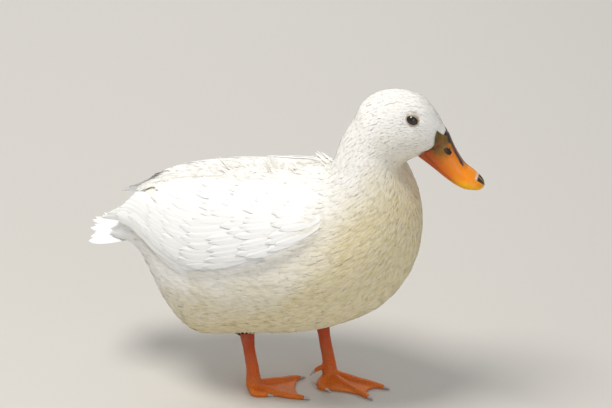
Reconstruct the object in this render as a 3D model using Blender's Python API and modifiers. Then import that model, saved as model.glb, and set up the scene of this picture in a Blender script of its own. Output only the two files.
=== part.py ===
"""A white domestic duck (Pekin type) at life size, walking: left foot forward, neck drawn in, head
lowered and turned a little to its left. Metres, +Z up, the duck faces +X and its left side is +Y.
The bird is one long loft of upright slices, tail to bill, parted into trunk, neck, head and bill.
Tables are in millimetres."""

import math
from collections import namedtuple

import bmesh
import bpy
from mathutils import Matrix, Vector

MM = 0.001
GAP = 0.3 * MM  # clear space between solids that meet
SHELL_GAP = 1.1 * MM  # under a folded wing, where two curved faceted surfaces lie together

# ---- driving sizes of the bird, in millimetres ----
TAIL_LENGTH = 50  # of the middle tail feathers past the rump
TAIL_SPREAD = 44  # degrees, half the fan
TAIL_FEATHERS = 12
EYE_RADIUS = 6.2
FOOT_TOP = 20  # height where the leg meets the foot
TOE_THICKNESS = 7.5
WEB_THICKNESS = 2.0
CLAW_LENGTH = 6.5
FOOT_GRAIN = 0.7  # grid in which a foot's toes and webs are run together
FOOT_FACES_KEPT = 0.027
WING_THICKNESS = 8.0
HEAD_TURN = 10  # degrees to the bird's left

RING_POINTS = 32  # round every slice of the body
SLICES_PER_RIB = 2

# A rib is one slice of the bird: its top and bottom on the middle plane as (x, z), its half width,
# how high between bottom and top it is widest, and how far it is turned with the head.
Rib = namedtuple("Rib", "top bottom half_width waist turn")

# Behind the trunk there is only the surface that the wing tips follow.
GUIDE_RIBS = [
    Rib((-206, 189), (-206, 163), 26, 0.50, 0),
]
TRUNK_RIBS = [
    Rib((-171, 202), (-167, 146), 37, 0.50, 0),  # root of the tail
    Rib((-154, 211), (-155, 131), 45, 0.50, 0),
    Rib((-134, 221), (-143, 107), 53, 0.50, 0),
    Rib((-108, 228.5), (-127, 77), 63, 0.50, 0),
    Rib((-76, 236.5), (-96, 52), 73, 0.50, 0),
    Rib((-38, 242.5), (-44, 63), 79, 0.49, 0),
    Rib((-4, 248), (8, 72), 81, 0.48, 0),
    Rib((22, 254), (54, 88), 78, 0.46, 0),
    Rib((38, 261), (96, 113), 69, 0.46, 0),
    Rib((44, 273), (123, 151), 58, 0.46, 0),  # root of the neck
]
NECK_RIBS = [
    Rib((48, 286), (133, 193), 48, 0.48, 1),
    Rib((54, 300), (130, 231), 41, 0.50, 3),
    Rib((63, 315), (117, 256), 36, 0.50, 6),  # where the neck meets the head
]
HEAD_RIBS = [
    Rib((70, 330.5), (111, 265), 33, 0.48, HEAD_TURN),
    Rib((86, 343), (116, 271), 31, 0.44, HEAD_TURN),
    Rib((106, 347), (123, 276), 28, 0.43, HEAD_TURN),
    Rib((128, 342.5), (129, 279), 24.5, 0.41, HEAD_TURN),
    Rib((143, 328), (135, 282), 20, 0.40, HEAD_TURN),
    Rib((156, 305), (140, 287), 14, 0.38, HEAD_TURN),  # root of the bill
]
BODY_RIBS = GUIDE_RIBS + TRUNK_RIBS + NECK_RIBS + HEAD_RIBS
TAIL_ROOT = len(GUIDE_RIBS)
NECK_ROOT = TAIL_ROOT + len(TRUNK_RIBS) - 1
HEAD_ROOT = NECK_ROOT + len(NECK_RIBS)
BILL_ROOT = len(BODY_RIBS) - 1

# The bill's culmen is on top; its slices are widest low down, at the mouth line.
BILL_UPPER_RIBS = [
    Rib((156.6, 304), (138, 288), 14.2, 0.22, HEAD_TURN),
    Rib((161, 294), (148, 277), 12.8, 0.20, HEAD_TURN),
    Rib((166.5, 283), (158, 267), 12.4, 0.20, HEAD_TURN),
    Rib((173, 273), (168, 259), 13.2, 0.22, HEAD_TURN),
    Rib((181, 266), (177, 254), 14.0, 0.26, HEAD_TURN),
    Rib((188, 259.5), (185, 250.5), 12.4, 0.34, HEAD_TURN),
    Rib((192, 254.5), (190, 250), 6.6, 0.42, HEAD_TURN),
]
BILL_LOWER_RIBS = [
    Rib((137, 287), (130, 279), 12.6, 0.70, HEAD_TURN),
    Rib((147, 276), (142, 269), 11.2, 0.75, HEAD_TURN),
    Rib((157, 266), (153, 260.5), 10.6, 0.80, HEAD_TURN),
    Rib((167, 258), (164, 253.5), 11.2, 0.80, HEAD_TURN),
    Rib((176, 253), (174, 249.5), 11.2, 0.80, HEAD_TURN),
    Rib((184, 249.5), (182.6, 247), 6.0, 0.80, HEAD_TURN),
]
NECK_PIVOT_X = 92  # the upright axis that the head turns about

EYE_RIB = HEAD_ROOT + 3.75  # along the head's slices
EYE_ANGLE = 60  # degrees round the slice from the crown
EYE_SINK = 3.6  # the eye's centre lies this far below the head's surface

# The folded wing, from shoulder to tip: how far round the body its upper and lower edges lie.
WING_FRONT_RIB, WING_BACK_RIB = NECK_ROOT - 1.2, 0.1
WING_EDGES = [(36, 62), (24, 74), (16, 83), (13, 87), (12, 87), (16, 84), (26, 82), (48, 84)]
WING_TIPS = [0.80, 0.90, 0.97, 1.0]  # feather groups, upper to lower, as shares of the length
WING_TIP_DROP = {"right": 6, "left": -1}

# Legs: slices as (centre x, centre y, height z, half length fore and aft, half width).
LEG_RIGHT = {
    "leg": [
        (-46, -30, 100, 9, 8),
        (-45, -26, 83, 7.8, 6.8),
        (-44, -23.5, 72, 8.4, 7),
        (-43.5, -21.5, 62, 7.4, 6.4),
        (-42.8, -19.5, 49, 6.0, 5.4),
        (-41.4, -18, 36, 6.2, 5.4),
        (-40, -17.5, 27, 6.8, 6),
        (-39, -18, FOOT_TOP, 7.2, 6.6),
    ],
    "toes": {
        "inner": [(-37, -14, 6.5), (-15, 7, 3.2), (-2, 20, 2)],
        "middle": [(-37, -19, 6.5), (-9, -22, 3.2), (17, -20, 2)],
        "outer": [(-39, -20, 6.5), (-34, -30, 3.3), (-20, -27, 2)],
        "hind": [(-41, -12, 15), (-45, -5, 12), (-46, 2, 9)],
    },
}
LEG_LEFT = {
    "leg": [
        (12, 36, 102, 9, 8),
        (15, 35, 84, 7.8, 6.8),
        (16.6, 34.5, 73, 8.4, 7),
        (17.4, 34, 62, 7.4, 6.4),
        (19.6, 33.5, 49, 6.2, 5.6),
        (22, 33, 36, 6.4, 5.6),
        (24, 33, 27, 6.8, 6),
        (25.4, 32.5, FOOT_TOP, 7.2, 6.6),
    ],
    "toes": {
        "inner": [(25, 29, 6.5), (23, 10, 3.3), (32, 5, 2)],
        "middle": [(27, 30, 6.5), (54, 17, 3.2), (78, 4.5, 2)],
        "outer": [(28, 34, 6.5), (58, 32, 3.2), (86, 29.6, 2)],
        "hind": [(22, 28, 16), (16, 26, 12.5), (13, 24.5, 10)],
    },
}

COLOURS = {
    "plumage": (0.86, 0.85, 0.80),
    "bill": (0.90, 0.42, 0.04),
    "eye": (0.02, 0.015, 0.012),
    "leg": (0.80, 0.24, 0.02),
    "claw": (0.85, 0.66, 0.50),
}
ROUGHNESS = {"plumage": 0.8, "bill": 0.4, "eye": 0.08, "leg": 0.5, "claw": 0.35}


def clear_scene():
    for obj in list(bpy.data.objects):
        bpy.data.objects.remove(obj)


def finish_material(name):
    made = bpy.data.materials.get(name)
    if made is None:
        made = bpy.data.materials.new(name)
        made.use_nodes = True
        shader = made.node_tree.nodes["Principled BSDF"]
        shader.inputs["Base Color"].default_value = (*COLOURS[name], 1)
        shader.inputs["Roughness"].default_value = ROUGHNESS[name]
    return made


def add_object(name, bm, finish, collection):
    """Turns a bmesh into a smooth shaded object of the duck."""
    bmesh.ops.recalc_face_normals(bm, faces=bm.faces)
    mesh = bpy.data.meshes.new(name)
    bm.to_mesh(mesh)
    bm.free()
    mesh.shade_smooth()
    mesh.set_sharp_from_angle(angle=math.radians(50))
    mesh.materials.append(finish_material(finish))
    made = bpy.data.objects.new(name, mesh)
    collection.objects.link(made)
    return made


# ---- curves and slices ----
def along(values, t):
    """Catmull-Rom spline through a list of numbers or vectors, at t from 0 to len - 1."""
    last = len(values) - 1
    i = min(max(int(math.floor(t)), 0), last - 1)
    f = t - i
    b, c = values[i], values[i + 1]
    a = values[i - 1] if i > 0 else b * 2 - c
    d = values[i + 2] if i + 2 <= last else c * 2 - b
    return (
        b * 2
        + (c - a) * f
        + (a * 2 - b * 5 + c * 4 - d) * f**2
        + (b * 3 - a - c * 3 + d) * f**3
    ) * 0.5


def rib_at(ribs, t):
    """The rib between two ribs of a list, as plain numbers and vectors in metres."""
    return Rib(
        along([Vector((r.top[0], 0, r.top[1])) * MM for r in ribs], t),
        along([Vector((r.bottom[0], 0, r.bottom[1])) * MM for r in ribs], t),
        along([r.half_width * MM for r in ribs], t),
        along([r.waist for r in ribs], t),
        along([float(r.turn) for r in ribs], t),
    )


def rib_point(rib, angle, grow=0.0):
    """A point on a rib: angle 0 is its top and 90 degrees its right side (-Y)."""
    height = (rib.top - rib.bottom).length + 2 * grow
    up = (rib.top - rib.bottom).normalized()
    waist = rib.bottom - up * grow + up * height * rib.waist
    half = height * (1 - rib.waist if math.cos(angle) > 0 else rib.waist)
    side = Vector((0, -1, 0)) * (rib.half_width + grow)
    point = waist + up * half * math.cos(angle) + side * math.sin(angle)
    pivot = Vector((NECK_PIVOT_X * MM, 0, 0))
    return Matrix.Rotation(math.radians(rib.turn), 3, "Z") @ (point - pivot) + pivot


def ring(rib, points=RING_POINTS, grow=0.0):
    return [rib_point(rib, 2 * math.pi * k / points, grow) for k in range(points)]


def surface_point(t, angle, lift):
    """A point of the body's surface, lifted square to it."""
    step = 0.02
    here = rib_point(rib_at(BODY_RIBS, t), angle)
    ahead = rib_point(rib_at(BODY_RIBS, t + step), angle)
    round_it = rib_point(rib_at(BODY_RIBS, t), angle + step)
    outward = (round_it - here).cross(ahead - here).normalized()
    return here + outward * lift


# ---- solids ----
def loft(rings):
    """A closed tube through rings of the same number of points, with flat ends."""
    bm = bmesh.new()
    rows = [[bm.verts.new(p) for p in one] for one in rings]
    count = len(rings[0])
    for low, high in zip(rows, rows[1:]):
        for k in range(count):
            n = (k + 1) % count
            bm.faces.new((low[k], low[n], high[n], high[k]))
    bm.faces.new(rows[0])
    bm.faces.new(rows[-1])
    return bm


def plate(upper, lower):
    """A closed plate between two grids of points of the same shape."""
    bm = bmesh.new()
    top = [[bm.verts.new(p) for p in row] for row in upper]
    under = [[bm.verts.new(p) for p in row] for row in lower]
    rows, columns = len(upper), len(upper[0])
    for grid in (top, under):
        for i in range(rows - 1):
            for j in range(columns - 1):
                bm.faces.new((grid[i][j], grid[i + 1][j], grid[i + 1][j + 1], grid[i][j + 1]))
    edge = [(0, j) for j in range(columns)]
    edge += [(i, columns - 1) for i in range(1, rows)]
    edge += [(rows - 1, j) for j in range(columns - 2, -1, -1)]
    edge += [(i, 0) for i in range(rows - 2, 0, -1)]
    for (i, j), (m, n) in zip(edge, edge[1:] + edge[:1]):
        bm.faces.new((top[i][j], top[m][n], under[m][n], under[i][j]))
    return bm


def body_length(ribs, start, end, slices_per_rib=SLICES_PER_RIB, points=RING_POINTS, grow=0.0):
    """The loft's stretch from one rib to another, each end drawn in by half a gap.
    Grown, it is the room that a neighbour leaves round it."""
    steps = round((end - start) * slices_per_rib)
    span = end - start
    rings = [ring(rib_at(ribs, start + span * i / steps), points, grow) for i in range(steps + 1)]
    for ends, beyond in ((rings[0], rings[1]), (rings[-1], rings[-2])):
        across = (ends[points // 4] - ends[0]).cross(ends[points // 2] - ends[0]).normalized()
        inward = sum(beyond, Vector()) / points - sum(ends, Vector()) / points
        across *= math.copysign(GAP / 2, across.dot(inward)) * (-1 if grow else 1)
        for k in range(points):
            ends[k] = ends[k] + across
    return loft(rings)


def pillar(slices, points=16):
    """An upright limb through level oval slices."""
    rings = []
    for x, y, z, fore, side in slices:
        turns = [2 * math.pi * k / points for k in range(points)]
        rings.append(
            [Vector((x + fore * math.cos(a), y + side * math.sin(a), z)) * MM for a in turns]
        )
    return loft(rings)


def tapered_tube(path, radii, points=10, flatness=1.0):
    """A tube along a path; flatness is its height over its width."""
    rings = []
    for i, here in enumerate(path):
        ahead = path[min(i + 1, len(path) - 1)] - path[max(i - 1, 0)]
        side = ahead.cross(Vector((0, 0, 1))).normalized()
        up = side.cross(ahead).normalized()
        turns = [2 * math.pi * k / points for k in range(points)]
        rings.append(
            [here + (side * math.cos(a) + up * math.sin(a) * flatness) * radii[i] for a in turns]
        )
    return loft(rings)


def combine(obj, other, operation):
    """Adds a Boolean modifier and hides its other object from the result."""
    modifier = obj.modifiers.new(other.name, "BOOLEAN")
    modifier.operation = operation
    modifier.object = other
    modifier.solver = "EXACT"
    other.hide_render = True
    other.display_type = "WIRE"


def add_shell(bm, other):
    """Puts another closed shell in the same bmesh."""
    bmesh.ops.recalc_face_normals(other, faces=other.faces)
    held = bpy.data.meshes.new("shell")
    other.to_mesh(held)
    other.free()
    bm.from_mesh(held)
    bpy.data.meshes.remove(held)


def fuse(obj):
    """Runs the shells of one object together into a single skin with few faces."""
    skin = obj.modifiers.new("one skin", "REMESH")
    skin.mode = "VOXEL"
    skin.voxel_size = FOOT_GRAIN * MM
    fewer = obj.modifiers.new("fewer faces", "DECIMATE")
    fewer.ratio = FOOT_FACES_KEPT


# ---- head, neck and trunk ----
def add_body(duck, cutters):
    add_object("trunk", body_length(BODY_RIBS, TAIL_ROOT, NECK_ROOT), "plumage", duck)
    add_object("neck", body_length(BODY_RIBS, NECK_ROOT, HEAD_ROOT), "plumage", duck)
    head = add_object("head", body_length(BODY_RIBS, HEAD_ROOT, BILL_ROOT), "plumage", duck)
    for side, name in ((1, "right"), (-1, "left")):
        centre = surface_point(EYE_RIB, side * math.radians(EYE_ANGLE), -EYE_SINK * MM)
        add_eye(f"eye_{name}", centre, EYE_RADIUS * MM, "eye", duck)
        socket = add_eye(f"socket_{name}", centre, EYE_RADIUS * MM + GAP, "eye", cutters)
        combine(head, socket, "DIFFERENCE")


def add_eye(name, centre, radius, finish, collection):
    bm = bmesh.new()
    bmesh.ops.create_uvsphere(bm, u_segments=14, v_segments=8, radius=radius)
    bmesh.ops.translate(bm, verts=bm.verts, vec=centre)
    return add_object(name, bm, finish, collection)


def add_bill(duck, cutters):
    """Both halves of the bill are let into the front of the head."""
    halves = (("bill_upper", BILL_UPPER_RIBS, 20), ("bill_lower", BILL_LOWER_RIBS, 16))
    for name, ribs, points in halves:
        last = len(ribs) - 1
        add_object(name, body_length(ribs, 0, last, 2, points), "bill", duck)
        room = add_object(
            f"room_{name}", body_length(ribs, 0, last, 2, points, GAP), "bill", cutters
        )
        combine(bpy.data.objects["head"], room, "DIFFERENCE")


# ---- wings and tail ----
def wing_grid(side, name, lift_of):
    """Points over a folded wing. Rows run shoulder to tip, columns from its upper edge to its lower one."""
    rows, columns = 19, 13
    grid = []
    for i in range(rows):
        row = []
        for j in range(columns):
            across = j / (columns - 1)
            group = across * (len(WING_TIPS) - 1)
            reach = WING_TIPS[round(group)] - 0.05 * abs(group - round(group))
            s = i / (rows - 1) * reach
            edges = s * (len(WING_EDGES) - 1)
            upper = along([float(e[0]) for e in WING_EDGES], edges)
            lower = along([float(e[1]) for e in WING_EDGES], edges)
            angle = math.radians(upper + (lower - upper) * across) * side
            t = WING_FRONT_RIB + (WING_BACK_RIB - WING_FRONT_RIB) * s
            drop = Vector((0, 0, WING_TIP_DROP[name] * MM * max(0.0, 10 * s - 9)))
            row.append(surface_point(t, angle, lift_of(s, across)) - drop)
        grid.append(row)
    return grid


def wing_lift(s, across):
    """The wing's outer face: thick in the middle and thin at its edges and tip."""
    crown = math.sin(math.pi * min(max(across, 0.0), 1.0)) ** 0.5
    front = min(1.0, (s / 0.18)) ** 0.6
    back = 1 - 0.72 * max(0.0, (s - 0.45) / 0.55)
    return SHELL_GAP + 1.2 * MM + (WING_THICKNESS * MM - 1.2 * MM) * crown * front * back


def add_wings(duck):
    for side, name in ((1, "right"), (-1, "left")):
        outer = wing_grid(side, name, wing_lift)
        inner = wing_grid(side, name, lambda s, across: SHELL_GAP)
        add_object(f"wing_{name}", plate(outer, inner), "plumage", duck)


def add_tail(duck):
    """The fan: feathers side by side, each with a rounded tip."""
    root = rib_at(BODY_RIBS, TAIL_ROOT)
    middle = (root.top + root.bottom) / 2 - Vector((GAP, 0, 0.016))
    per_feather = 4
    columns = TAIL_FEATHERS * per_feather + 1
    upper, lower = [], []
    for i in range(4):
        above, below = [], []
        for j in range(columns):
            across = 2 * j / (columns - 1) - 1
            spread = math.radians(TAIL_SPREAD) * across
            scallop = abs(((j / per_feather) % 1) - 0.5) * 2
            length = TAIL_LENGTH * MM * (1 - 0.16 * across**2) * (1 - 0.16 * scallop**2)
            reach = length * i / 3
            width = 0.0365 * (1 - 0.15 * i / 3)
            thick = (0.0046 - 0.0034 * i / 3) * (1 - 0.45 * across**2)
            point = middle + Vector(
                (
                    -reach * math.cos(spread) - 0.0003,
                    -across * width - reach * math.sin(spread) * 0.72,
                    -0.006 * across**2 - 0.004 * i / 3,
                )
            )
            above.append(point + Vector((0, 0, thick)))
            below.append(point - Vector((0, 0, thick)))
        upper.append(above)
        lower.append(below)
    add_object("tail", plate(upper, lower), "plumage", duck)


# ---- legs and feet ----
def toe_path(points):
    """A toe as vectors, smoothed between its few points."""
    given = [Vector(p) * MM for p in points]
    steps = 6
    return [along(given, (len(given) - 1) * i / steps) for i in range(steps + 1)]


def toe_radii(path, thick):
    last = len(path) - 1
    knuckle = [1.05, 0.92, 1.0, 0.88, 0.95, 0.82, 0.62]
    return [thick * 0.5 * MM * knuckle[round(i * 6 / last)] for i in range(last + 1)]


def web(first, second):
    """The skin between two toes, its free edge hollow."""
    rows, columns = 6, 6
    upper, lower = [], []
    for i in range(rows):
        above, below = [], []
        for j in range(columns):
            across = j / (columns - 1)
            reach = (0.06 + 0.88 * i / (rows - 1)) * (1 - 0.13 * math.sin(math.pi * across))
            a = along(first, reach * (len(first) - 1))
            b = along(second, reach * (len(second) - 1))
            point = a.lerp(b, across)
            sag = 0.4 * math.sin(math.pi * across) * MM
            height = max(point.z - 1.2 * MM - sag, WEB_THICKNESS * 0.5 * MM + 0.4 * MM)
            above.append(Vector((point.x, point.y, height + WEB_THICKNESS * 0.5 * MM)))
            below.append(Vector((point.x, point.y, height - WEB_THICKNESS * 0.5 * MM)))
        upper.append(above)
        lower.append(below)
    return plate(upper, lower)


def claw(tip, ahead, grow=0.0):
    """A curved cone off the end of a toe. Grown, it is the room that the foot leaves round it."""
    ahead = ahead.normalized()
    path = []
    for share in (0, 0.4, 0.75, 1):
        reach = GAP + CLAW_LENGTH * MM * share + grow * (2 * share - 1)
        point = tip + ahead * reach + Vector((0, 0, -0.9 * MM)) * share**2
        path.append(Vector((point.x, point.y, max(point.z, 0.9 * MM))))
    radii = [r * MM + grow for r in (2.1, 1.7, 1.1, 0.45)]
    return tapered_tube(path, radii, 8, 0.85)


def add_leg(name, leg, duck, cutters):
    tarsus = add_object(f"leg_{name}", pillar(leg["leg"]), "leg", duck)
    combine(tarsus, bpy.data.objects["trunk_room"], "DIFFERENCE")

    x, y, z, fore, side = leg["leg"][-1]
    ankle = [
        (x, y, z - GAP / MM, fore, side),
        (x + 0.5, y, 11, fore + 0.6, side + 0.9),
        (x + 1, y, 5, fore + 0.6, side + 1.2),
        (x + 1, y, -1, fore - 1.5, side - 1),
    ]
    paths = {toe: toe_path(points) for toe, points in leg["toes"].items()}
    flesh = pillar(ankle)
    for toe, path in paths.items():
        thick = TOE_THICKNESS * (0.72 if toe == "hind" else 1.0)
        add_shell(flesh, tapered_tube(path, toe_radii(path, thick)))
    for first, second in (("inner", "middle"), ("middle", "outer")):
        add_shell(flesh, web(paths[first], paths[second]))
    foot = add_object(f"foot_{name}", flesh, "leg", duck)
    fuse(foot)
    floor = bmesh.new()
    bmesh.ops.create_cube(floor, size=0.4)
    bmesh.ops.translate(floor, verts=floor.verts, vec=(0, 0, -0.2))
    combine(foot, add_object(f"floor_{name}", floor, "leg", cutters), "DIFFERENCE")
    for toe, path in paths.items():
        ahead = path[-1] - path[-2]
        add_object(f"claw_{toe}_{name}", claw(path[-1], ahead), "claw", duck)
        room = add_object(f"room_{toe}_{name}", claw(path[-1], ahead, GAP), "claw", cutters)
        combine(foot, room, "DIFFERENCE")


def main():
    clear_scene()
    duck = bpy.data.collections.new("duck")
    cutters = bpy.data.collections.new("cutters")
    for made in (duck, cutters):
        bpy.context.scene.collection.children.link(made)

    add_body(duck, cutters)
    add_bill(duck, cutters)
    add_wings(duck)
    add_tail(duck)
    trunk_room = body_length(BODY_RIBS, TAIL_ROOT, NECK_ROOT, grow=GAP)
    add_object("trunk_room", trunk_room, "plumage", cutters)
    add_leg("right", LEG_RIGHT, duck, cutters)
    add_leg("left", LEG_LEFT, duck, cutters)

    # The origin is on the floor under the middle of the whole bird.
    tail_end = min(v.co.x for v in bpy.data.objects["tail"].data.vertices)
    bill_end = max(v.co.x for v in bpy.data.objects["bill_upper"].data.vertices)
    to_origin = Matrix.Translation((-(tail_end + bill_end) / 2, 0, 0))
    for obj in [*duck.objects, *cutters.objects]:
        obj.data.transform(to_origin)


main()
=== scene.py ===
import bpy, bmesh, math
import numpy as np
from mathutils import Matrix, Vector
from mathutils.bvhtree import BVHTree


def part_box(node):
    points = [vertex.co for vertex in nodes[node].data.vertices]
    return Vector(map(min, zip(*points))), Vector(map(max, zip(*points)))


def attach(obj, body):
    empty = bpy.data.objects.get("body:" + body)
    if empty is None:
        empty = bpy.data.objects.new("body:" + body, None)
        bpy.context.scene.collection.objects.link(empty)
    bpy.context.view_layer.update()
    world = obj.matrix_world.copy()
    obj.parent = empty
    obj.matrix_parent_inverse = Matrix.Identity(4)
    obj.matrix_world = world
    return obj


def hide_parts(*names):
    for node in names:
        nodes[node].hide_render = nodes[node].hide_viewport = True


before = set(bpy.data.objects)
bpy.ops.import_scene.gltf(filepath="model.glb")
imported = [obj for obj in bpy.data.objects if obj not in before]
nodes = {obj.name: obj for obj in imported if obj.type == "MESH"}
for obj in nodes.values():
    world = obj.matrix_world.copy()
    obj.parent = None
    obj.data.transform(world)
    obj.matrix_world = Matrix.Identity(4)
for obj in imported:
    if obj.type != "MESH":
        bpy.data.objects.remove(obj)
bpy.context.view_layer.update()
dice = np.random.default_rng(12)
mm = 0.001
worldShift = 14.35  # mm, the duck's own measures start at the middle of the hips


def linear(hexColour):
    parts = [int(hexColour[i:i + 2], 16) / 255 for i in (1, 3, 5)]
    return tuple(c / 12.92 if c <= 0.04045 else ((c + 0.055) / 1.055) ** 2.4 for c in parts) + (1.0,)


def addNode(tree, kind, settings={}, links={}):
    # one node: settings go on its properties or its sockets, links come from other nodes' outputs
    node = tree.nodes.new("ShaderNode" + kind)
    for key, value in settings.items():
        if key == "stops":
            while len(node.color_ramp.elements) < len(value):
                node.color_ramp.elements.new(0.5)
            for element, (place, colour) in zip(node.color_ramp.elements, value):
                element.position = place
                element.color = linear(colour)
        elif isinstance(key, str) and hasattr(node, key):
            setattr(node, key, value)
        else:
            node.inputs[key].default_value = value
    feed(node, links)
    return node


def feed(node, links):
    # a node given as a source stands for its main output
    for key, source in links.items():
        if hasattr(source, "outputs"):
            source = source.outputs[2 if source.bl_idname == "ShaderNodeMix" else 0]
        node.id_data.links.new(source, node.inputs[key])


def startMaterial(name, settings):
    material = bpy.data.materials.new(name)
    material.use_nodes = True
    tree = material.node_tree
    shader = tree.nodes["Principled BSDF"]
    for key, value in settings.items():
        shader.inputs[key].default_value = value
    return material, tree, shader


def link(name, data):
    piece = bpy.data.objects.new(name, data)
    bpy.context.scene.collection.objects.link(piece)
    return piece


def treeOf(mesh):
    return BVHTree.FromPolygons([v.co.copy() for v in mesh.vertices], [tuple(p.vertices) for p in mesh.polygons])


def gridQuads(rows, across, closed=False):
    # faces between rows of points; a closed grid runs round to its first column
    index = np.arange(rows * across).reshape(rows, across)
    left, right = (index, np.roll(index, -1, 1)) if closed else (index[:, :-1], index[:, 1:])
    return np.stack([left[:-1], right[:-1], right[1:], left[1:]], 2).reshape(-1, 4)


def unit(v):
    return v / np.maximum(np.linalg.norm(v, axis=-1, keepdims=True), 1e-12)


def makePiece(name, verts, quads, tris, material, replaced=(), bakeUv=None, vaneUv=None):
    # verts (n, 3), quads (k, 4), tris (m, 3), UVs one per vertex
    mesh = bpy.data.meshes.new(name)
    quads = np.asarray(quads, np.int64).reshape(-1, 4)
    tris = np.asarray(tris, np.int64).reshape(-1, 3)
    corners = np.concatenate([quads.ravel(), tris.ravel()])
    totals = np.concatenate([np.full(len(quads), 4), np.full(len(tris), 3)])
    mesh.vertices.add(len(verts))
    mesh.vertices.foreach_set("co", np.asarray(verts, np.float32).ravel())
    mesh.loops.add(len(corners))
    mesh.loops.foreach_set("vertex_index", corners.astype(np.int32))
    mesh.polygons.add(len(totals))
    mesh.polygons.foreach_set("loop_start", np.concatenate([[0], np.cumsum(totals)[:-1]]).astype(np.int32))
    mesh.update(calc_edges=True)
    mesh.validate()
    for label, uv in (("OFBake", bakeUv), ("vane", vaneUv)):
        if uv is not None:
            layer = mesh.uv_layers.new(name=label)
            layer.data.foreach_set("uv", np.asarray(uv, np.float32)[corners].ravel())
    mesh.polygons.foreach_set("use_smooth", np.ones(len(mesh.polygons), bool))
    piece = link(name, mesh)
    mesh.materials.append(material)
    enrol(piece, replaced)
    return piece


def enrol(piece, replaced=()):
    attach(piece, "root")
    if replaced:
        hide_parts(*replaced)


def remeshAs(piece, name, voxel, smoothing):
    # the shells become one smooth skin
    piece.name = piece.data.name = name
    remesh = piece.modifiers.new("one skin", "REMESH")
    remesh.mode, remesh.voxel_size = "VOXEL", voxel
    soften = piece.modifiers.new("soften", "SMOOTH")
    soften.factor, soften.iterations = 0.5, smoothing
    depsgraph = bpy.context.evaluated_depsgraph_get()
    mesh = bpy.data.meshes.new_from_object(piece.evaluated_get(depsgraph))
    piece.modifiers.clear()
    piece.data = mesh


def finishSkin(piece, place, material=None):
    piece.data.vertices.foreach_set("co", place.astype(np.float32).ravel())
    piece.data.update()
    piece.data.polygons.foreach_set("use_smooth", np.ones(len(piece.data.polygons), bool))
    piece.data.materials.clear()
    if material:
        piece.data.materials.append(material)


# camera, light and floor
camera = {
    "azimuth": 20, "elevation": 25, "distance": 3.2,
    "lens": 188.2, "aim": (0.0227, 0.0101, 0.2050),
}
turn, rise = math.radians(camera["azimuth"]), math.radians(camera["elevation"])
back = Vector((math.sin(turn) * math.cos(rise), -math.cos(turn) * math.cos(rise), math.sin(rise)))
cameraData = bpy.data.cameras.new("camera")
cameraData.lens, cameraData.sensor_width = camera["lens"], 36
cameraObject = link("camera", cameraData)
cameraObject.location = Vector(camera["aim"]) + back * camera["distance"]
cameraObject.rotation_euler = (-back).to_track_quat("-Z", "Y").to_euler()
bpy.context.scene.camera = cameraObject

lights = {
    "key": {"from": (-0.5, -0.7, 2.5), "size": 1.0, "watts": 47, "colour": "#FFFBF5"},
    "fill": {"from": (1.9, -1.6, 0.9), "size": 1.8, "watts": 10, "colour": "#F4F7FF"},
    "rim": {"from": (-0.9, 1.8, 1.5), "size": 1.5, "watts": 14, "colour": "#FFFFFF"},
}
for lightName, light in lights.items():
    lamp = bpy.data.lights.new(lightName, "AREA")
    lamp.shape, lamp.size, lamp.energy = "DISK", light["size"], light["watts"]
    lamp.color = linear(light["colour"])[:3]
    lampObject = link(lightName, lamp)
    lampObject.location = light["from"]
    lookAt = Vector((0, 0, 0.15)) - Vector(light["from"])
    lampObject.rotation_euler = lookAt.to_track_quat("-Z", "Y").to_euler()

world = bpy.data.worlds.new("studio")
bpy.context.scene.world = world
world.use_nodes = True
world.node_tree.nodes["Background"].inputs["Color"].default_value = linear("#EDEFF2")
world.node_tree.nodes["Background"].inputs["Strength"].default_value = 0.5

# matt painted board: even, no shine, a faint mottle so that it doesn't look like card from a printer
floorPaint, tree, shader = startMaterial("matt painted board", {"Roughness": 0.9})
mottle = addNode(tree, "TexNoise", {"Scale": 3.0, "Detail": 4.0})
tone = addNode(tree, "ValToRGB", {"stops": [(0.35, "#C9C6C0"), (0.65, "#CFCCC6")]}, {"Fac": mottle})
feed(shader, {"Base Color": tone})
floorMesh = bpy.data.meshes.new("floor")
floorMesh.from_pydata([(-4, -4, 0), (4, -4, 0), (4, 4, 0), (-4, 4, 0)], [], [(0, 1, 2, 3)])
floorMesh.materials.append(floorPaint)
floor = link("floor", floorMesh)
bpy.context.scene.view_settings.view_transform = "Standard"  # keeps the whites white
print("camera, lights and floor are in")


# sections from tail to bill: top (x, z), bottom (x, z), turn of the head in degrees
sections = [
    ((-206, 189), (-206, 163), 0), ((-171, 202), (-167, 146), 0), ((-154, 211), (-155, 131), 0),
    ((-134, 221), (-143, 107), 0), ((-108, 228), (-127, 77), 0), ((-76, 236), (-96, 52), 0),
    ((-38, 242), (-44, 63), 0), ((-4, 248), (8, 72), 0), ((22, 254), (54, 88), 0),
    ((38, 261), (96, 113), 0), ((44, 273), (123, 151), 0), ((48, 286), (133, 193), 1),
    ((54, 300), (130, 231), 3), ((63, 315), (117, 256), 6), ((70, 330), (111, 265), 10),
    ((86, 343), (116, 271), 10), ((106, 347), (123, 276), 10), ((128, 342), (129, 279), 10),
    ((143, 328), (135, 282), 10), ((156, 305), (140, 287), 10),
]
tailRoot, billRoot = 1, 19


def turned(x, y, z, degrees):
    # the head and bill turn about an upright line at x = 92
    a = math.radians(degrees)
    dx = x - 92
    return ((92 + dx * math.cos(a) - y * math.sin(a) + worldShift) * mm,
            (dx * math.sin(a) + y * math.cos(a)) * mm, z * mm)


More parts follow.
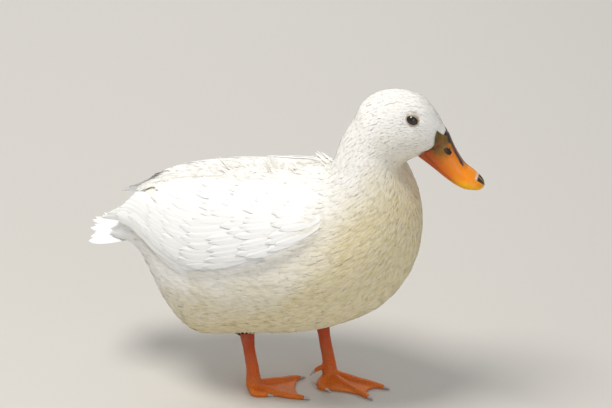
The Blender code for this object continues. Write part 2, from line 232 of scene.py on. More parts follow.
tops = np.array([turned(t[0], 0, t[1], d) for t, b, d in sections])
bottoms = np.array([turned(b[0], 0, b[1], d) for t, b, d in sections])
sideways = np.array([(-math.sin(math.radians(d)), math.cos(math.radians(d)), 0) for t, b, d in sections])
centres = (tops + bottoms) / 2
upwards = unit(tops - bottoms)
forwards = np.cross(sideways, upwards)  # towards the bill
forwards = unit(forwards * np.sign((forwards * np.roll(centres, -1, 0) - forwards * centres).sum(1))[:, None])
forwards[-1] = forwards[-2]


def bodyPlace(points):
    # how far along the sections a point is, and its angle round them (0 on the back, 90 on the right)
    points = np.atleast_2d(points)
    gap = ((points[:, None, :] - centres[None]) * forwards[None]).sum(2)
    near = np.linalg.norm(points[:, None, :] - centres[None], axis=2)
    cost = near[:, :-1] + near[:, 1:] + np.where((gap[:, :-1] >= 0) & (gap[:, 1:] < 0), 0.0, 0.6)
    i = cost.argmin(1)
    k = np.arange(len(points))
    step = gap[k, i] - gap[k, i + 1]
    share = np.clip(gap[k, i] / np.where(abs(step) < 1e-9, 1, step), 0, 1)

    def mix(a):
        return a[i] * (1 - share[:, None]) + a[i + 1] * share[:, None]

    out = points - mix(centres)
    angle = np.degrees(np.arctan2(-(out * mix(sideways)).sum(1), (out * mix(upwards)).sum(1)))
    return i + share, angle


def bodyLie(points, normals):
    # feathers lie from the bill to the tail along the surface
    along, _ = bodyPlace(points)
    i = np.clip(along.astype(int), 0, len(sections) - 2)
    share = (along - i)[:, None]
    lie = -(forwards[i] * (1 - share) + forwards[i + 1] * share)
    lie[:, 2] -= 0.12
    return unit(lie - normals * (lie * normals).sum(1, keepdims=True))


def bakePlace(points):
    along, angle = bodyPlace(points)
    return np.stack([0.02 + 0.96 * (angle + 180) / 360, 0.02 + 0.96 * along / billRoot], 1)


def atBody(table, along):
    # a value given at a few places along the body
    places, values = zip(*table)
    return np.interp(along, places, values)


def nodeShell(names, grow, cutX=None):
    # the named solids, each a touch bigger so that they run into one another
    shell = bmesh.new()
    for nodeName in names:
        part = bmesh.new()
        part.from_mesh(nodes[nodeName].data)
        bmesh.ops.remove_doubles(part, verts=part.verts, dist=1e-5)
        if cutX is not None and nodeName.startswith("wing"):
            cut = bmesh.ops.bisect_plane(part, geom=part.verts[:] + part.edges[:] + part.faces[:],
                                         plane_co=(cutX, 0, 0), plane_no=(1, 0, 0), clear_inner=True)
            rim = [e for e in cut["geom_cut"] if isinstance(e, bmesh.types.BMEdge)]
            bmesh.ops.holes_fill(part, edges=rim)
        bmesh.ops.recalc_face_normals(part, faces=part.faces)
        part.normal_update()
        for v in part.verts:
            v.co += v.normal * grow
        mesh = bpy.data.meshes.new("part")
        part.to_mesh(mesh)
        part.free()
        shell.from_mesh(mesh)
        bpy.data.meshes.remove(mesh)
    mesh = bpy.data.meshes.new("shell")
    shell.to_mesh(mesh)
    shell.free()
    return link("shell", mesh)


def meshArrays(piece):
    mesh = piece.data
    co = np.empty(len(mesh.vertices) * 3, np.float32)
    mesh.vertices.foreach_get("co", co)
    normals = np.empty(len(mesh.vertices) * 3, np.float32)
    mesh.vertices.foreach_get("normal", normals)
    return co.reshape(-1, 3).astype(float), normals.reshape(-1, 3).astype(float)


skinForm = {
    "voxel": 2.3 * mm, "grow": 0.9 * mm, "smoothing": 6,
    # coat depth in mm along the body
    "depth": [(0, 2.5), (tailRoot, 3), (3, 3.4), (9, 3.2), (12, 2.6), (14, 1.8), (16, 1.3), (billRoot, 0.8)],
    "wingCut": -152 * mm,
}
fleshNodes = ["trunk", "neck", "head", "wing_right", "wing_left"]
bodySkin = nodeShell(fleshNodes, skinForm["grow"], skinForm["wingCut"])
remeshAs(bodySkin, "body_skin", skinForm["voxel"], skinForm["smoothing"])
place, normal = meshArrays(bodySkin)
along, _ = bodyPlace(place)
depth = atBody(skinForm["depth"], along) * mm + skinForm["grow"]
place = place - normal * depth[:, None]
finishSkin(bodySkin, place)
print("skin:", len(bodySkin.data.polygons), "faces")


def featherMaterial(name, form):
    # keratin barbs, zipped into a vane: matt white with a soft sheen
    material, tree, shader = startMaterial(name, {
        "Roughness": form["roughness"], "IOR": 1.54, "Specular IOR Level": 0.3,
        "Sheen Weight": form["sheen"], "Sheen Roughness": 0.5,
    })
    place = addNode(tree, "TexCoord")
    split = addNode(tree, "SeparateXYZ", links={"Vector": place.outputs["Object"]})
    # height of the upper edge of the cream below it, which is partly real staining and partly painted shade on the
    # underside: 0.166 + 0.42 x + 6.5 max(x, 0)^2 up to the cheek, in metres
    ahead = addNode(tree, "Math", {"operation": "MAXIMUM", 1: 0.0}, {0: split.outputs["X"]})
    square = addNode(tree, "Math", {"operation": "MULTIPLY"}, {0: ahead, 1: ahead})
    slope = addNode(tree, "Math", {"operation": "MULTIPLY_ADD", 1: 0.42, 2: 0.166}, {0: split.outputs["X"]})
    edge = addNode(tree, "Math", {"operation": "MULTIPLY_ADD", 1: 6.5}, {0: square, 2: slope})
    capped = addNode(tree, "Math", {"operation": "MINIMUM", 1: 0.293}, {0: edge})
    below = addNode(tree, "Math", {"operation": "SUBTRACT"}, {0: capped, 1: split.outputs["Z"]})
    blotch = addNode(tree, "TexNoise", {"Scale": 22.0, "Detail": 3.0}, {"Vector": place.outputs["Object"]})
    wander = addNode(tree, "Math", {"operation": "MULTIPLY_ADD", 1: 0.08, 2: -0.04}, {0: blotch})
    edgeSoft = addNode(tree, "Math", {"operation": "ADD"}, {0: below, 1: wander})
    stainAndShade = addNode(tree, "MapRange", {"From Min": -0.02, "From Max": 0.055, "To Max": form["stainAndShade"]},
                    {"Value": edgeSoft})
    # barb streaks: clumps of barbs about 1.2 mm apart, drawn coarser than the real 0.3 mm
    vane = addNode(tree, "UVMap", {"uv_map": "vane"})
    stretch = addNode(tree, "Mapping", {"Scale": (1.0, 0.12, 1.0)}, {"Vector": vane})
    barbs = addNode(tree, "TexNoise", {"Scale": form["barbs"], "Detail": 2.0, "noise_dimensions": "2D"},
                    {"Vector": stretch})
    # the barb streaks break up the cream staining and painted shade
    stainAndShadeStreaks = addNode(tree, "MapRange", {"From Min": 0.35, "From Max": 0.7, "To Min": 0.55, "To Max": 1.15},
                   {"Value": barbs})
    stainAndShadeFac = addNode(tree, "Math", {"operation": "MULTIPLY"}, {0: stainAndShade, 1: stainAndShadeStreaks})
    colour = addNode(tree, "Mix", {"data_type": "RGBA", 6: linear(form["white"]), 7: linear(form["cream"])},
                     {0: stainAndShadeFac})
    feed(shader, {"Base Color": colour})
    bump = addNode(tree, "Bump", {"Strength": form["bump"], "Distance": 0.0004}, {"Height": barbs})
    feed(shader, {"Normal": bump})
    return material


contourFeather = featherMaterial("contour feather keratin", {
    "white": "#F6F4EE", "cream": "#DCCB93", "stainAndShade": 0.9, "barbs": 9.0, "bump": 0.5,
    "roughness": 0.75, "sheen": 0.15,
})
flightFeather = featherMaterial("flight feather keratin", {
    "white": "#F4F4F2", "cream": "#EFE7D2", "stainAndShade": 0.4, "barbs": 14.0, "bump": 0.35,
    "roughness": 0.6, "sheen": 0.1,
})
downSkin = featherMaterial("down over skin", {
    "white": "#EFECE4", "cream": "#CDBB85", "stainAndShade": 0.9, "barbs": 9.0, "bump": 0.3,
    "roughness": 0.85, "sheen": 0.1,
})
bodySkin.data.materials.append(downSkin)
enrol(bodySkin, fleshNodes)


# roots of the coat
skinPlace, _ = meshArrays(bodySkin)
skinTree = treeOf(bodySkin.data)
quadIndex = np.array([tuple(p.vertices) for p in bodySkin.data.polygons if len(p.vertices) == 4])
quadCorner = skinPlace[quadIndex]
edgeA, edgeB = quadCorner[:, 1] - quadCorner[:, 0], quadCorner[:, 3] - quadCorner[:, 0]
quadArea = np.linalg.norm(np.cross(edgeA, edgeB), axis=1)


def nearestOnSkin(points):
    found = [skinTree.find_nearest(Vector(p)) for p in points]
    return np.array([f[0] for f in found]), np.array([f[1] for f in found])


def scatter(count, spacing):
    # evenly spread roots: a random draw by area, then any root too near an earlier one is dropped
    pick = dice.choice(len(quadIndex), count, p=quadArea / quadArea.sum())
    a, b = dice.random(count)[:, None], dice.random(count)[:, None]
    corner = quadCorner[pick]
    points = (corner[:, 0] * (1 - a) * (1 - b) + corner[:, 1] * a * (1 - b)
              + corner[:, 2] * a * b + corner[:, 3] * (1 - a) * b)
    along, angle = bodyPlace(points)
    room = spacing(points, along, angle)
    cell = 6 * mm
    grid, kept = {}, []
    keys = np.floor(points / cell).astype(int)
    for i in range(count):
        if room[i] <= 0:
            continue
        kx, ky, kz = keys[i]
        near = [j for dx in (-1, 0, 1) for dy in (-1, 0, 1) for dz in (-1, 0, 1)
                for j in grid.get((kx + dx, ky + dy, kz + dz), ())]
        if near and (((points[near] - points[i]) ** 2).sum(1) < room[i] ** 2).any():
            continue
        grid.setdefault((kx, ky, kz), []).append(i)
        kept.append(i)
    return points[kept], along[kept], angle[kept]


def tuftShape(locks, seed, rowPlaces=(0.0, 0.38, 0.72)):
    # one small feather: locks of barbs side by side, joined at the root and parted at the tip
    draw = np.random.default_rng(seed)
    verts, quads, tris = [], [], []
    for j in range(locks):
        c = (2 * (j + 0.5) / locks - 1) * 0.9
        half = 1.15 / locks
        start = len(verts)
        for k, u in enumerate(rowPlaces):
            spread = (0.25, 0.8, 1.0)[k]
            narrow = (0.5, 1.0, 0.8)[k]
            drift = draw.normal(0, 0.05) * (k > 1)
            for s in (-1, 1):
                across = c * spread + s * half * narrow + drift
                verts.append((u, across, -0.12 * across ** 2 + 0.025 * draw.normal()))
        verts.append((1 - 0.25 * abs(c) ** 1.5 + draw.normal(0, 0.09), c * 1.05 + draw.normal(0, 0.14),
                      -0.12 * c * c + 0.06 * draw.random()))
        for k in range(len(rowPlaces) - 1):
            a = start + 2 * k
            quads.append((a, a + 1, a + 3, a + 2))
        a = start + 2 * (len(rowPlaces) - 1)
        tris.append((a, a + 1, a + 2))
    return np.array(verts), np.array(quads), np.array(tris)


def growTufts(name, roots, form, shapes, material):
    # lays every tuft along the skin from its root and joins them into pieces of under 190,000 triangles
    points, lengths, widths, lifts, tipLifts = roots
    count = len(points)
    rootSpot, rootOut = nearestOnSkin(points)
    lie = bodyLie(rootSpot, rootOut)
    lie = unit(lie + np.cross(rootOut, lie) * dice.normal(0, form["stray"], count)[:, None])
    middleSpot, middleOut = nearestOnSkin(rootSpot + lie * (lengths / 2)[:, None])
    lie1 = unit(bodyLie(middleSpot, middleOut) + lie * 0.8)
    endSpot, endOut = nearestOnSkin(middleSpot + lie1 * (lengths / 2)[:, None])
    uvRoot = bakePlace(rootSpot)
    offset = dice.random(count) * 50
    batches = []
    for k, (verts, quads, tris) in enumerate(shapes):
        idx = np.arange(k, count, len(shapes))
        u = verts[:, 0][None, :, None]
        rootAt, middleAt, endAt = rootSpot[idx, None], middleSpot[idx, None], endSpot[idx, None]
        line = rootAt * (1 - u) * (1 - 2 * u) + middleAt * 4 * u * (1 - u) + endAt * u * (2 * u - 1)
        tangent = unit(rootAt * (4 * u - 3) + middleAt * (4 - 8 * u) + endAt * (4 * u - 1))
        out = unit(rootOut[idx, None] * (1 - u) + endOut[idx, None] * u)
        across = np.cross(out, tangent)
        rise = np.minimum(1, verts[:, 0] / 0.3)[None, :, None] * lifts[idx, None, None] \
            + (verts[:, 0] ** 2)[None, :, None] * tipLifts[idx, None, None]
        world = line + across * verts[:, 1][None, :, None] * widths[idx, None, None] \
            + out * (rise + verts[:, 2][None, :, None] * widths[idx, None, None])
        n = len(verts)
        base = (np.arange(len(idx)) * n)[:, None, None]
        bake = uvRoot[idx, None, :] + 0.0015 * np.stack([verts[:, 1], 2 * verts[:, 0] - 1], 1)[None]
        vane = np.stack([verts[:, 1][None] * widths[idx, None] * 100 + offset[idx, None],
                         verts[:, 0][None] * lengths[idx, None] * 100 + offset[idx, None]], 2)
        batches.append((world, quads[None] + base, tris[None] + base, bake, vane))
    perPiece = 190000 // max(len(q) * 2 + len(t) for _, q, t in shapes)
    pieces = []
    number = 0
    for world, quads, tris, bake, vane in batches:
        for start in range(0, len(world), perPiece):
            part = slice(start, min(start + perPiece, len(world)))
            n = world.shape[1]
            number += 1
            pieces.append(makePiece(f"{name}_{number}", world[part].reshape(-1, 3),
                                    quads[part].reshape(-1, 4) - start * n,
                                    tris[part].reshape(-1, 3) - start * n,
                                    material, (), bake[part].reshape(-1, 2), vane[part].reshape(-1, 2)))
    print(name, count, "tufts in", number, "pieces")
    return pieces


billForm = {
    "steps": 130, "around": 96,
    # ridge (x, z), lower edge (x, z), half width, height of the widest line, sharpness of the ridge
    "upper": [
        (152, 307, 132, 284, 12.6, 0.20, 1.15), (156.6, 304, 135.5, 283.5, 14.0, 0.18, 1.15),
        (161, 294, 145.8, 273.2, 12.9, 0.14, 1.1), (166.5, 283, 156.2, 263.6, 12.5, 0.14, 1.0),
        (173, 273, 166.6, 256.4, 13.2, 0.15, 0.9), (181, 266, 176.2, 252, 13.9, 0.18, 0.75),
        (187.5, 260, 184.6, 249.4, 12.2, 0.26, 0.7), (191.6, 255.6, 189.6, 248.6, 7.8, 0.36, 0.7),
        (193.2, 252, 192.0, 248.8, 1.2, 0.5, 0.8),
    ],
    "lower": [
        (136, 290, 127, 281, 12.0, 0.5, 0.9), (149.5, 280, 142, 269.6, 11.2, 0.5, 0.9),
        (159.5, 270, 153, 260.8, 10.6, 0.5, 0.9), (169, 261.4, 164, 253.6, 11.2, 0.5, 0.9),
        (177, 256, 174, 249.3, 11.0, 0.5, 0.9), (184, 251.5, 182.6, 247.4, 6.6, 0.6, 0.9),
        (186, 250, 185, 247.8, 1.0, 0.6, 0.9),
    ],
    "nostril": (157.3, 9.6, 289.3), "nostrilLong": 5.6, "nostrilHigh": 2.7, "nostrilDepth": 1.8,
}


def smoothRow(table, t):
    # a smooth run through the rows of a table
    rows = np.asarray(table, float)
    i = min(int(t), len(rows) - 2)
    u = t - i
    a, b, c, d = rows[max(i - 1, 0)], rows[i], rows[i + 1], rows[min(i + 2, len(rows) - 1)]
    return 0.5 * (2 * b + (c - a) * u + (2 * a - 5 * b + 4 * c - d) * u * u + (3 * b - a - 3 * c + d) * u ** 3)


def nostrilReach(dx, dz):
    # 1 at the nostril's edge, which lies along the bill
    slopeX, slopeZ = 0.66, 0.75  # the bill's slope
    return math.hypot((dx * slopeX - dz * slopeZ) / billForm["nostrilLong"],
                      (dx * slopeZ + dz * slopeX) / billForm["nostrilHigh"])


def billHalf(name, table, node, upper):
    steps, around = billForm["steps"], billForm["around"]
    verts, uvs = [], []
    for i in range(steps + 1):
        v = i / steps
        t = (1 - (1 - v) ** 1.35) * (len(table) - 1)
        topX, topZ, lowX, lowZ, half, waist, ridge = smoothRow(table, t)
        for k in range(around):
            a = 2 * math.pi * k / around
            side, high = math.sin(a), math.cos(a)
            rise = waist + (1 - waist) * abs(high) ** ridge if high > 0 else waist - waist * abs(high) ** 0.45
            y = half * math.copysign(abs(side) ** 0.85, side)
            x, z = lowX + (topX - lowX) * rise, lowZ + (topZ - lowZ) * rise
            if upper:
                # a soft lip along the edge
                lip = math.exp(-((abs(k / around - 0.5) * 2 - 0.52) / 0.07) ** 2) * 0.5 * min(1, v * 3)
                y += math.copysign(lip, side) if abs(side) > 0.1 else 0
                # nostrils: a long hollow with a raised rim
                nx, ny, nz = billForm["nostril"]
                dx, dz = x - nx, z - nz
                r = nostrilReach(dx, dz)
                if abs(y) > 3:
                    rim = 0.45 * math.exp(-((r - 1.18) / 0.2) ** 2)
                    push = -billForm["nostrilDepth"] * max(0, 1 - r * r) ** 0.6 if r < 1 else rim
                    y += math.copysign(push, y)
                    x += push * 0.3
                    z += push * 0.2
            verts.append(turned(x, y, z, 10))
            uvs.append((k / around, v))
    index = np.arange((steps + 1) * around).reshape(steps + 1, around)
    quads = gridQuads(steps + 1, around, True)
    n = len(verts)
    verts += [tuple(np.mean(verts[:around], 0)), tuple(np.mean(verts[-around:], 0))]
    uvs += [(0, 0), (0, 1)]
    tris = [(n, int(index[0, (k + 1) % around]), int(index[0, k])) for k in range(around)]
    tris += [(n + 1, int(index[-1, k]), int(index[-1, (k + 1) % around])) for k in range(around)]
    return makePiece(name, np.array(verts), quads, tris, billHorn, [node], None, np.array(uvs))


# bill horn: keratin over bone, smooth and slightly waxy; orange, olive at the root, yellow on the lip
billHorn, tree, shader = startMaterial("bill keratin", {
    "Roughness": 0.34, "IOR": 1.54, "Subsurface Weight": 0.12, "Subsurface Scale": 0.003, "Specular IOR Level": 0.4})
place = addNode(tree, "TexCoord")
vane = addNode(tree, "UVMap", {"uv_map": "vane"})
split = addNode(tree, "SeparateXYZ", links={"Vector": vane})
fromTop = addNode(tree, "Math", {"operation": "SUBTRACT", 1: 0.5}, {0: split.outputs["X"]})
fromLow = addNode(tree, "Math", {"operation": "ABSOLUTE"}, {0: fromTop})
# 0 on the ridge, 1 underneath
fromRidge = addNode(tree, "Math", {"operation": "MULTIPLY_ADD", 1: -2.0, 2: 1.0}, {0: fromLow})
mottle = addNode(tree, "TexNoise", {"Scale": 170.0, "Detail": 5.0}, {"Vector": place.outputs["Object"]})
wander = addNode(tree, "Math", {"operation": "MULTIPLY_ADD", 1: 0.16, 2: -0.08}, {0: mottle})
alongUneven = addNode(tree, "Math", {"operation": "ADD"}, {0: split.outputs["Y"], 1: wander})
sideUneven = addNode(tree, "Math", {"operation": "ADD"}, {0: fromRidge, 1: wander})
horn = addNode(tree, "ValToRGB", {"stops": [(0.06, "#5A4818"), (0.15, "#8A5E12"),
                                            (0.24, "#DE7C08"), (0.45, "#F28C04"),
                                            (0.8, "#F59A0A"), (1.0, "#F2A212")]}, {"Fac": alongUneven})
lipAlong = addNode(tree, "ValToRGB", {"stops": [(0.1, "#B84A08"), (0.32, "#DE6A08"), (0.46, "#FBB606"),
                                                (0.95, "#FFC400")]},
                   {"Fac": split.outputs["Y"]})
lipMask = addNode(tree, "MapRange", {"From Min": 0.38, "From Max": 0.5, "To Max": 0.9}, {"Value": sideUneven})
withLip = addNode(tree, "Mix", {"data_type": "RGBA"}, {0: lipMask, 6: horn, 7: lipAlong})
streakAcross = addNode(tree, "MapRange", {"From Min": 0.1, "From Max": 0.14, "To Min": 0.95, "To Max": 0.0},
                       {"Value": sideUneven})
streakAlong = addNode(tree, "MapRange", {"From Min": 0.38, "From Max": 0.44, "To Min": 1.0, "To Max": 0.0},
                      {"Value": alongUneven})
streak = addNode(tree, "Math", {"operation": "MULTIPLY"}, {0: streakAcross, 1: streakAlong})
withStreak = addNode(tree, "Mix", {"data_type": "RGBA", 7: linear("#1B2330")}, {0: streak, 6: withLip})
nailAlong = addNode(tree, "MapRange", {"From Min": 0.575, "From Max": 0.595}, {"Value": split.outputs["Y"]})
nailAcross = addNode(tree, "MapRange", {"From Min": 0.19, "From Max": 0.24, "To Min": 1.0, "To Max": 0.0},
                     {"Value": fromRidge})
nail = addNode(tree, "Math", {"operation": "MULTIPLY"}, {0: nailAlong, 1: nailAcross})
nailTone = addNode(tree, "ValToRGB", {"stops": [(0.58, "#EBD6CE"), (0.615, "#DDBFAE"),
                                                (0.635, "#1C1613"), (1.0, "#120E0C")]},
                   {"Fac": split.outputs["Y"]})
withNail = addNode(tree, "Mix", {"data_type": "RGBA"}, {0: nail, 6: withStreak, 7: nailTone})
feed(shader, {"Base Color": withNail})
fine = addNode(tree, "TexNoise", {"Scale": 900.0, "Detail": 3.0}, {"Vector": place.outputs["Object"]})
bump = addNode(tree, "Bump", {"Strength": 0.25, "Distance": 0.0003}, {"Height": fine})
feed(shader, {"Normal": bump})

# inside of the nostril: painted shade, near-black with a faint grain, standing for the depth of the opening; glossy, as
# if damp
nostrilPaintedShade, tree, shader = startMaterial("nostril painted shade", {"Roughness": 0.3, "Base Color": linear("#16110E")})
place = addNode(tree, "TexCoord")
grain = addNode(tree, "TexNoise", {"Scale": 700.0}, {"Vector": place.outputs["Object"]})
tone = addNode(tree, "ValToRGB", {"stops": [(0.3, "#120D0B"), (0.7, "#2A211B")]}, {"Fac": grain})
feed(shader, {"Base Color": tone})

upperBill = billHalf("bill_upper_horn", billForm["upper"], "bill_upper", True)
upperBill.data.materials.append(nostrilPaintedShade)
nx, ny, nz = billForm["nostril"]
# faces inside the nostril's hollow take the painted shade
for polygon in upperBill.data.polygons:
    c = polygon.center
    dx, dy = c.x / mm - worldShift - 92, c.y / mm
    x, y, z = 92 + dx * 0.9848 + dy * 0.1736, -dx * 0.1736 + dy * 0.9848, c.z / mm
    if nostrilReach(x - nx, z - nz) < 0.86 and abs(y) > 3:
        polygon.material_index = 1
billHalf("bill_lower_horn", billForm["lower"], "bill_lower", False)

# lobes: the horn runs up beside the forehead feathers in a point on each side
headTree = treeOf(nodes["head"].data)
lobeForm = {
    "rear": [(146.6, 311.6), (145.2, 305), (144.9, 297.9), (142.3, 291.6), (136, 289.4), (131.5, 288.2)],
    "front": [(147.2, 311), (151.5, 306.5), (157, 301.5), (158, 295), (152, 284), (141, 279.5)],
}


def lobe(side):
    rows, cols = 40, 14
    verts, uvs = [], []
    for i in range(rows + 1):
        v = i / rows * (len(lobeForm["rear"]) - 1)
        rear, front = smoothRow(lobeForm["rear"], v), smoothRow(lobeForm["front"], v)
        for k in range(cols + 1):
            u = k / cols
            x, z = rear + (front - rear) * u
            start = Vector(turned(x, side * 60, z, 10))
            ray = (Vector(turned(x, 0, z, 10)) - start).normalized()
            hit, hitNormal, _, _ = headTree.ray_cast(start, ray)
            if hit is None:
                hit, hitNormal = headTree.find_nearest(Vector(turned(x, side * 12, z, 10)))[:2]
            edge = min(u * 4, (1 - u) * 4, 1)
            point = hit + hitNormal * (0.25 + 0.35 * edge) * mm
            verts.append(tuple(point))
            uvs.append((0.5 - side * (0.5 - 0.14 - 0.14 * i / rows), 0.06 + 0.12 * u * min(1, i / rows * 2)))
    quads = gridQuads(rows + 1, cols + 1)
    if side > 0:
        quads = quads[:, ::-1]
    name = "bill_lobe_left" if side > 0 else "bill_lobe_right"
    return makePiece(name, np.array(verts), quads, [], billHorn, (), None, np.array(uvs))


lobes = [lobe(-1), lobe(1)]
lobePoints = np.array([tuple(v.co) for piece in lobes for v in piece.data.vertices])


def underBill(points):
    # true where the horn covers the skin
    near = np.zeros(len(points), bool)
    close = np.where(points[:, 0] > 140 * mm)[0]
    for i in close:
        gap = np.linalg.norm(lobePoints - points[i], axis=1).min()
        near[i] = gap < 2.0 * mm
    return near


# eyeball: near-black iris under a wet cornea, so it shows the lights as small sharp spots
eyeWet, tree, shader = startMaterial("wet eye", {
    "Roughness": 0.06, "IOR": 1.376, "Coat Weight": 1.0, "Coat Roughness": 0.02})
vane = addNode(tree, "UVMap", {"uv_map": "vane"})
reach = addNode(tree, "VectorMath", {"operation": "LENGTH"}, {0: vane})
irisStops = [(0.0, "#050404"), (0.48, "#060505"), (0.56, "#24130B"), (0.9, "#160C08")]
iris = addNode(tree, "ValToRGB", {"stops": irisStops}, {"Fac": reach.outputs["Value"]})
feed(shader, {"Base Color": iris})
# lid: bare thin skin, ivory, turning brown towards its edge and near-black right at the opening, where painted shade
# stands for the crease against the eyeball; a little creased
lidSkin, tree, shader = startMaterial("eyelid skin", {
    "Roughness": 0.55, "IOR": 1.45, "Subsurface Weight": 0.2, "Subsurface Scale": 0.002})
vane = addNode(tree, "UVMap", {"uv_map": "vane"})
split = addNode(tree, "SeparateXYZ", links={"Vector": vane})
lidStopsWithShade = [(0.0, "#3A2419"), (0.22, "#8A705A"), (0.5, "#CFC6B4"), (1.0, "#E9E6DE")]
lidToneWithShade = addNode(tree, "ValToRGB", {"stops": lidStopsWithShade}, {"Fac": split.outputs["Y"]})
feed(shader, {"Base Color": lidToneWithShade})
crease = addNode(tree, "TexNoise", {"Scale": 40.0, "Detail": 3.0}, {"Vector": vane})
bump = addNode(tree, "Bump", {"Strength": 0.4, "Distance": 0.0002}, {"Height": crease})
feed(shader, {"Normal": bump})
eyeForm = {"radius": 6.3, "sink": 0.7, "long": 5.3, "high": 3.5, "outer": 1.34, "tilt": -28}
eyes = []
for side, nodeName in ((-1, "eye_right"), (1, "eye_left")):
    low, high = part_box(nodeName)
    centre = np.array((low + high) / 2)
    skinHit, skinOut = skinTree.find_nearest(Vector(centre) + Vector((0, side * 0.02, 0)))[:2]
    out = unit(np.array(skinOut) * 0.6 + np.array((0.18, side, 0.12)) * 0.4)
    fore = unit(np.cross(out, (0, 0, 1)) * (-side))
    fore = fore * (1 if fore[0] > 0 else -1)
    upward = unit(np.cross(fore, out))
    upward = upward * (1 if upward[2] > 0 else -1)
    tilt = math.radians(eyeForm["tilt"])
    fore, upward = fore * math.cos(tilt) + upward * math.sin(tilt), upward * math.cos(tilt) - fore * math.sin(tilt)
    radius = eyeForm["radius"] * mm
    centre = centre - out * eyeForm["sink"] * mm
    verts, uvs = [], []
    rings, spokes = 24, 48
    for i in range(rings + 1):
        a = math.pi * 0.62 * i / rings
        for k in range(spokes):
            b = 2 * math.pi * k / spokes
            bulge = 1 + 0.06 * math.exp(-(a / 0.5) ** 2)
            spoke = fore * math.cos(b) + upward * math.sin(b)
            verts.append(centre + radius * bulge * (out * math.cos(a) + spoke * math.sin(a)))
            uvs.append((math.sin(a) * math.cos(b), math.sin(a) * math.sin(b)))
    quads = gridQuads(rings + 1, spokes, True)[:, [0, 3, 2, 1]]
    if side > 0:
        quads = quads[:, ::-1]
    makePiece("eyeball_" + nodeName[4:], np.array(verts), quads, [], eyeWet, [nodeName], None, np.array(uvs))
    # lids: a ring from inside the opening, over a rounded rim, down into the head
    verts, uvs = [], []
    spokes, loops = 64, 10
    for i in range(loops + 1):
        u = i / loops
        grow = 0.97 + (eyeForm["outer"] - 0.97) * u
        for k in range(spokes):
            b = 2 * math.pi * k / spokes
            a = eyeForm["long"] * grow * mm * math.cos(b)
            c = eyeForm["high"] * grow * mm * math.sin(b) * (1.0 + 0.08 * (math.sin(b) > 0))
            flat = centre + fore * a + upward * c
            ball = math.sqrt(max(radius ** 2 - a * a - c * c, 0))
            onBall = flat + out * (ball + 0.15 * mm)
            base = skinTree.find_nearest(Vector(flat + out * 5 * mm))
            onSkin = np.array(base[0]) + np.array(base[1]) * 0.55 * mm
            weight = min(1, max(0, (u - 0.12) / 0.6))
            weight = weight * weight * (3 - 2 * weight)
            rim, tuck = 0.55 * math.exp(-((u - 0.24) / 0.16) ** 2), 0.9 * max(0, u - 0.85) / 0.15
            point = onBall * (1 - weight) + onSkin * weight + out * (rim - tuck) * mm
            reachOut = np.linalg.norm(point - centre)
            if reachOut < radius * 1.075 and u < 0.86:
                point = centre + (point - centre) * (radius * 1.075 / reachOut)
            verts.append(point)
            uvs.append((k / spokes, u))
    quads = gridQuads(loops + 1, spokes, True)[:, [0, 3, 2, 1]]
    if side > 0:
        quads = quads[:, ::-1]
    makePiece("eyelids_" + nodeName[4:], np.array(verts), quads, [], lidSkin, (), None, np.array(uvs))
    eyes.append({"place": centre + out * radius * 0.8, "bare": 5.2 * mm})
print("bill, eyes and lids are in")


wingEdges = {
    "along": (0.1, 1.34, 2.59, 3.83, 5.07, 6.31, 7.56, 8.8),
    "upper": (48, 26, 16, 12, 13, 16, 24, 36), "lower": (84, 82, 84, 87, 87, 83, 74, 62),
}
bodyCoat = {
    "draw": 210000, "stray": 0.08,
    "spacing": [(0, 2.6), (3, 2.5), (9, 2.4), (12, 2.0), (14, 1.75), (16, 1.5), (billRoot, 1.2)],
    "length": [(0, 19), (3, 21), (9, 19), (12, 14), (14, 9.5), (16, 7.5), (18, 5), (billRoot, 3.2)],
    "width": [(0, 2.5), (3, 2.6), (9, 2.4), (12, 1.8), (14, 1.4), (16, 1.15), (billRoot, 0.8)],
    "lift": [(0, 1.3), (3, 1.9), (9, 1.9), (12, 1.5), (14, 0.9), (16, 0.6), (billRoot, 0.35)],
}


def roomForTuft(points, along, angle):
    room = atBody(bodyCoat["spacing"], along) * mm
    # none on the bill's lobes, none inside the eyelids
    room = np.where(underBill(points), 0, room)
    for eye in eyes:
        room = np.where(np.linalg.norm(points - eye["place"], axis=1) < eye["bare"], 0, room)
    # the folded wing wears vanes instead
    turnedBy = abs(angle)
    onWing = (along < 7.3) & (turnedBy > np.interp(along, wingEdges["along"], wingEdges["upper"]) + 9) \
        & (turnedBy < np.interp(along, wingEdges["along"], wingEdges["lower"]) - 1)
    return np.where((along > billRoot - 0.02) | onWing, 0, room)


points, along, angle = scatter(bodyCoat["draw"], roomForTuft)
wobble = 1 + 0.16 * dice.normal(0, 1, len(points)).clip(-1.5, 1.5)
under = np.clip((abs(angle) - 95) / 40, 0, 1)  # looser and longer underneath
vent = under * np.clip((5.5 - along) / 3, 0, 1)
roots = (points, atBody(bodyCoat["length"], along) * mm * wobble * (1 + 0.15 * under),
         atBody(bodyCoat["width"], along) * mm,
         atBody(bodyCoat["lift"], along) * mm * (0.85 + 0.3 * dice.random(len(points))),
         mm * dice.random(len(points)) ** 6 * (along < 12) * (0.5 + 3.0 * vent))
growTufts("coat", roots, bodyCoat, [tuftShape(5, seed) for seed in range(4)], contourFeather)


